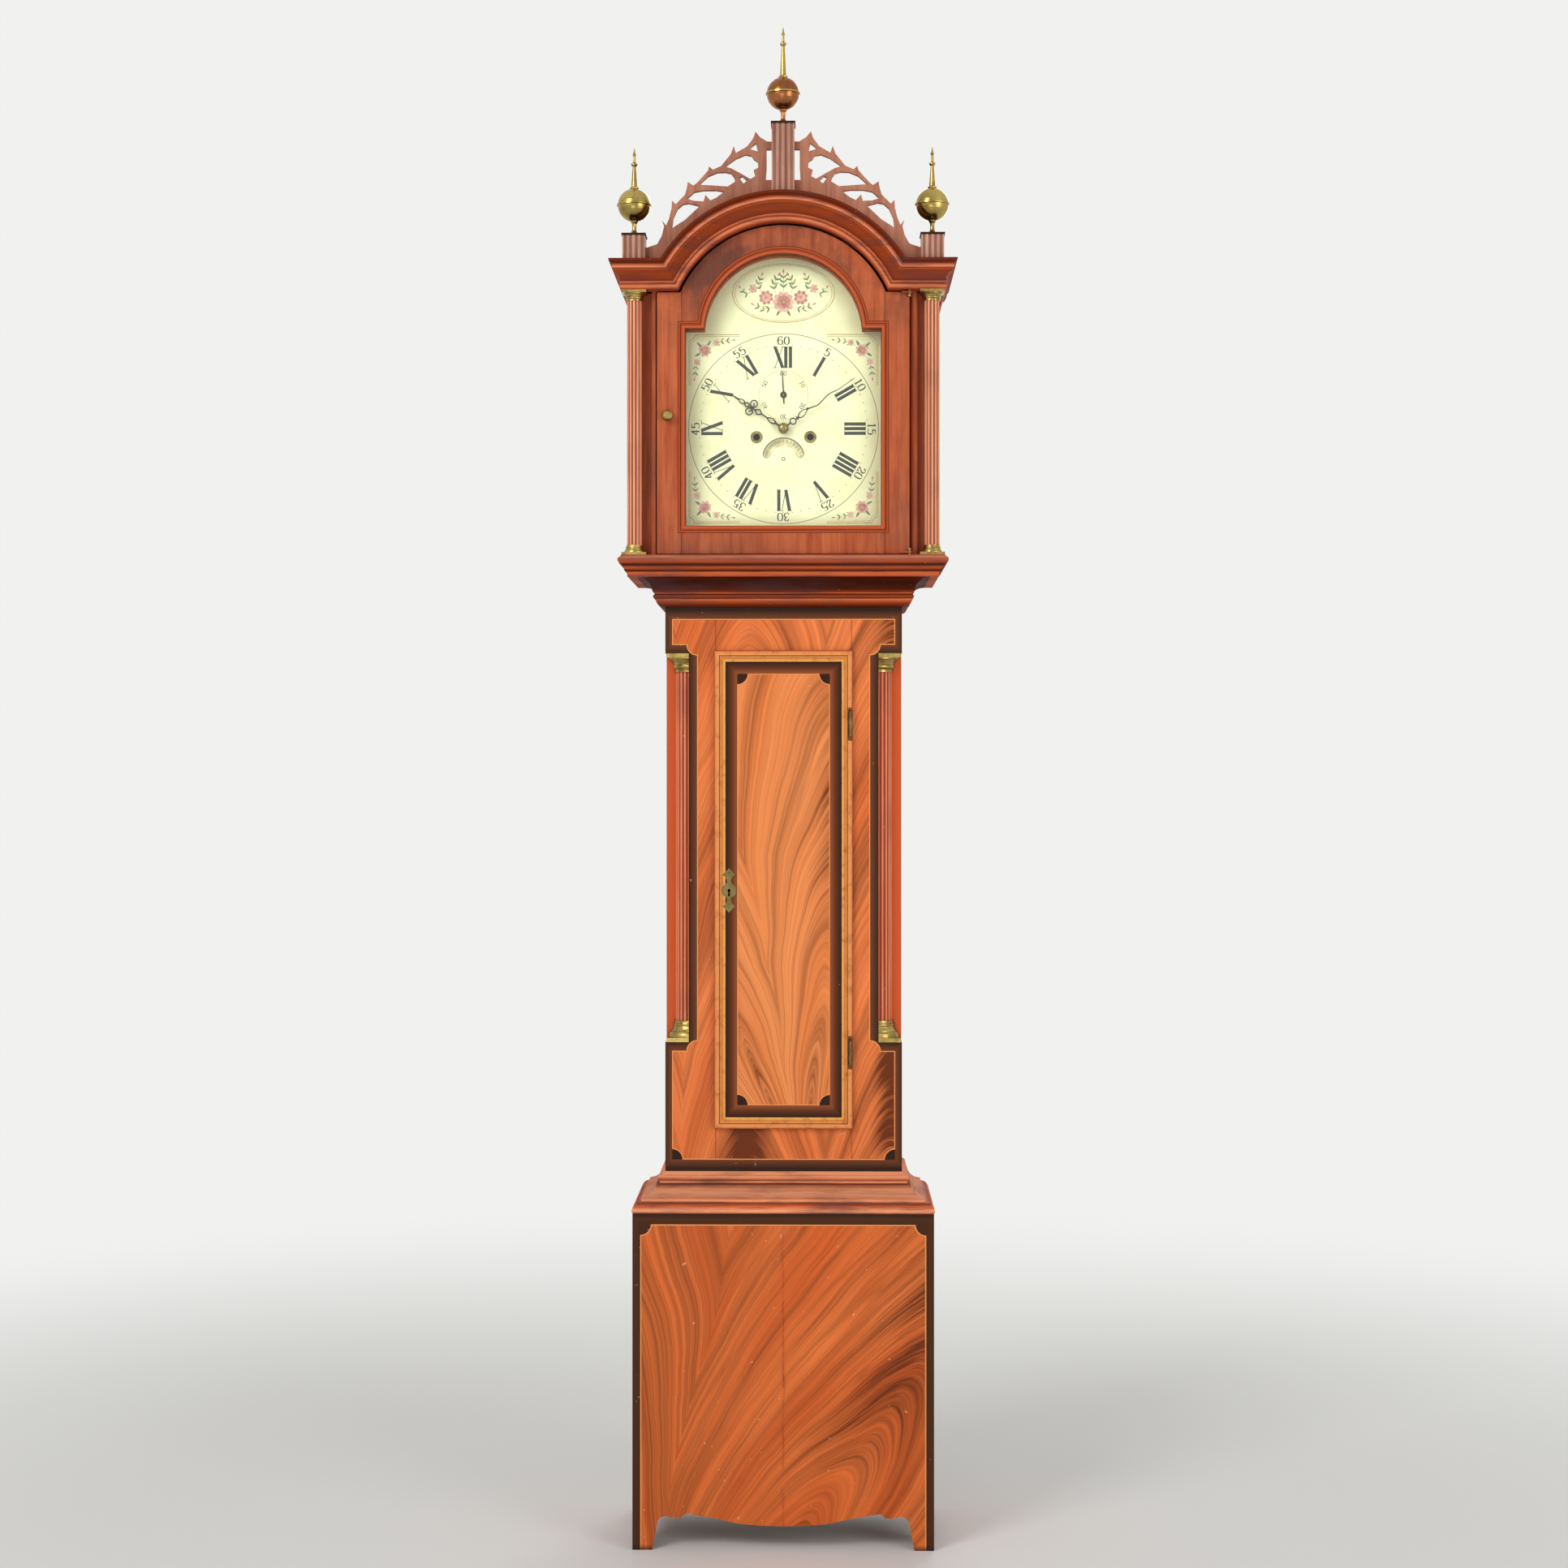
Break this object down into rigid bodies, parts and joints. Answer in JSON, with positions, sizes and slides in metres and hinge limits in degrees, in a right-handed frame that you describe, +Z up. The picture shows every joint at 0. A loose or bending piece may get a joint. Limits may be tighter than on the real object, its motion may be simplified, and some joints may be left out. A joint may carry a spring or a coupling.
{
  "type": "tall case clock",
  "caption": "Tall case clock in grained paint with an arched hood, painted dial, pendulum, weights, and hinged waist and hood doors",
  "frame": {"origin": "on the floor, under the middle of the overall box", "axes": "+Z up, +Y to the back, +X to the right as seen from the front"},
  "size_m": [0.534, 0.2726, 2.3485],
  "materials": {
    "painted_pine": "painted",
    "painted_brown": "painted",
    "painted_red": "painted",
    "painted_pink": "painted",
    "bare_pine": "matte",
    "brass": "aged",
    "copper_wash": "aged",
    "dark_iron": "matte",
    "steel": "satin",
    "bell_metal": "satin",
    "dial_paint": "satin",
    "glass": "clear",
    "gut": "matte"
  },
  "bodies": {
    "case": {"base_front_board": "painted_pine", "base_sides": "painted_pine", "base_bottom": "bare_pine", "backboard": "bare_pine", "base_moulding": "painted_red", "waist_frame": "painted_pine", "corner_posts": "painted_pine", "waist_sides": "painted_pine", "quarter_columns": "painted_pink", "quarter_column_brasses": "brass", "throat_moulding": "painted_red", "hinge_case_leaves": "brass", "seatboard": "bare_pine", "dial": "dial_paint", "winding_grommets": "brass", "movement_plates": "brass", "back_cock": "brass", "bell": "bell_metal", "line_tops": "gut", "time_line": "gut", "strike_line": "gut"},
    "waist_door": {"waist_door": "painted_pine", "waist_door_moulding": "painted_pine", "hinge_door_leaves": "brass", "escutcheon": "brass", "door_lock": "dark_iron"},
    "lock_bolt": {"lock_bolt": "steel"},
    "hood": {"hood_base": "painted_red", "hood_sides": "painted_red", "hood_frame": "painted_brown", "hood_frieze": "painted_red", "hood_cornice": "painted_red", "hood_roof": "bare_pine", "hood_columns": "painted_pink", "hood_column_brasses": "brass", "hood_hinge_pins": "brass", "frets": "painted_pink", "plinths": "painted_pink", "centre_finial": "copper_wash", "side_finials": "brass"},
    "hood_door": {"hood_door": "painted_brown", "hood_glass": "glass", "hood_door_knob": "brass", "hood_door_straps": "brass"},
    "escape": {"escape_wheel": "brass", "seconds_hand": "dark_iron"},
    "third": {"third_wheel": "brass"},
    "centre": {"centre_arbor": "steel", "minute_hand": "dark_iron"},
    "motion": {"motion_wheel": "brass"},
    "hour": {"hour_wheel": "brass", "hour_hand": "dark_iron"},
    "time_drum": {"time_drum": "brass"},
    "time_weight": {"time_weight": "dark_iron"},
    "anchor": {"anchor": "steel"},
    "pendulum": {"pendulum": "brass"},
    "strike_drum": {"strike_drum": "brass"},
    "strike_weight": {"strike_weight": "dark_iron"},
    "hammer": {"hammer": "steel"},
    "calendar": {"calendar_wheel": "dial_paint"}
  },
  "joints": [
    {"name": "hood_slide", "type": "slide", "parent": "case", "child": "hood", "axis": [0, -1, 0], "range_m": [0, 0.26]},
    {"name": "hood_door_hinge", "type": "hinge", "parent": "hood", "child": "hood_door", "pos_m": [0.1945, -0.10675, 1.737], "axis": [0, 0, 1], "range_deg": [0, 95]},
    {"name": "waist_door_hinge", "type": "hinge", "parent": "case", "child": "waist_door", "pos_m": [0.104, -0.06475, 1], "axis": [0, 0, 1], "range_deg": [0, 115]},
    {"name": "lock_bolt_slide", "type": "slide", "parent": "waist_door", "child": "lock_bolt", "axis": [-1, 0, 0], "range_m": [0, 0.008]},
    {"name": "seconds_arbor", "type": "hinge", "parent": "case", "child": "escape", "pos_m": [0, 0, 1.786], "axis": [0, 1, 0], "range_deg": [0, 4147200]},
    {"name": "third_arbor", "type": "hinge", "parent": "case", "child": "third", "pos_m": [0.00925, 0, 1.7609], "axis": [0, 1, 0], "range_deg": [-518400, 0]},
    {"name": "centre_arbor", "type": "hinge", "parent": "case", "child": "centre", "pos_m": [0, 0, 1.7335], "axis": [0, 1, 0], "range_deg": [0, 69120]},
    {"name": "motion_arbor", "type": "hinge", "parent": "case", "child": "motion", "pos_m": [-0.0218, 0, 1.7461], "axis": [0, 1, 0], "range_deg": [-69120, 0]},
    {"name": "hour_pipe", "type": "hinge", "parent": "case", "child": "hour", "pos_m": [0, 0, 1.7335], "axis": [0, 1, 0], "range_deg": [0, 5760]},
    {"name": "time_drum_arbor", "type": "hinge", "parent": "case", "child": "time_drum", "pos_m": [0.0418, 0, 1.7205], "axis": [0, 1, 0], "range_deg": [-5760, 0]},
    {"name": "time_weight_fall", "type": "slide", "parent": "case", "child": "time_weight", "axis": [0, 0, -1], "range_m": [0, 1.1862], "deforming": ["time_line"]},
    {"name": "pendulum_swing", "type": "hinge", "parent": "case", "child": "pendulum", "pos_m": [0, 0.05625, 1.813], "axis": [0, 1, 0], "range_deg": [-3, 3]},
    {"name": "anchor_arbor", "type": "hinge", "parent": "case", "child": "anchor", "pos_m": [0, 0.03, 1.813], "axis": [0, 1, 0], "range_deg": [-3, 3]},
    {"name": "strike_drum_arbor", "type": "hinge", "parent": "case", "child": "strike_drum", "pos_m": [-0.0418, 0, 1.7205], "axis": [0, -1, 0], "range_deg": [0, 5760]},
    {"name": "strike_weight_fall", "type": "slide", "parent": "case", "child": "strike_weight", "axis": [0, 0, -1], "range_m": [0, 1.1862], "deforming": ["strike_line"]},
    {"name": "hammer_arbor", "type": "hinge", "parent": "case", "child": "hammer", "pos_m": [-0.066, 0, 1.7955], "axis": [0, 1, 0], "range_deg": [-12, 0]},
    {"name": "calendar_pin", "type": "hinge", "parent": "case", "child": "calendar", "pos_m": [0, -0.06, 1.6865], "axis": [0, 1, 0], "continuous": true}
  ],
  "couplings": [
    {"joint": "time_drum_arbor", "follows": "time_weight_fall", "rad_per_m": -84.746},
    {"joint": "centre_arbor", "follows": "time_weight_fall", "rad_per_m": 1016.9},
    {"joint": "motion_arbor", "follows": "time_weight_fall", "rad_per_m": -1016.9},
    {"joint": "hour_pipe", "follows": "time_weight_fall", "rad_per_m": 84.746},
    {"joint": "third_arbor", "follows": "time_weight_fall", "rad_per_m": -7627.1},
    {"joint": "seconds_arbor", "follows": "time_weight_fall", "rad_per_m": 61017},
    {"joint": "anchor_arbor", "follows": "pendulum_swing", "ratio": 1},
    {"joint": "strike_drum_arbor", "follows": "strike_weight_fall", "rad_per_m": 84.746}
  ]
}
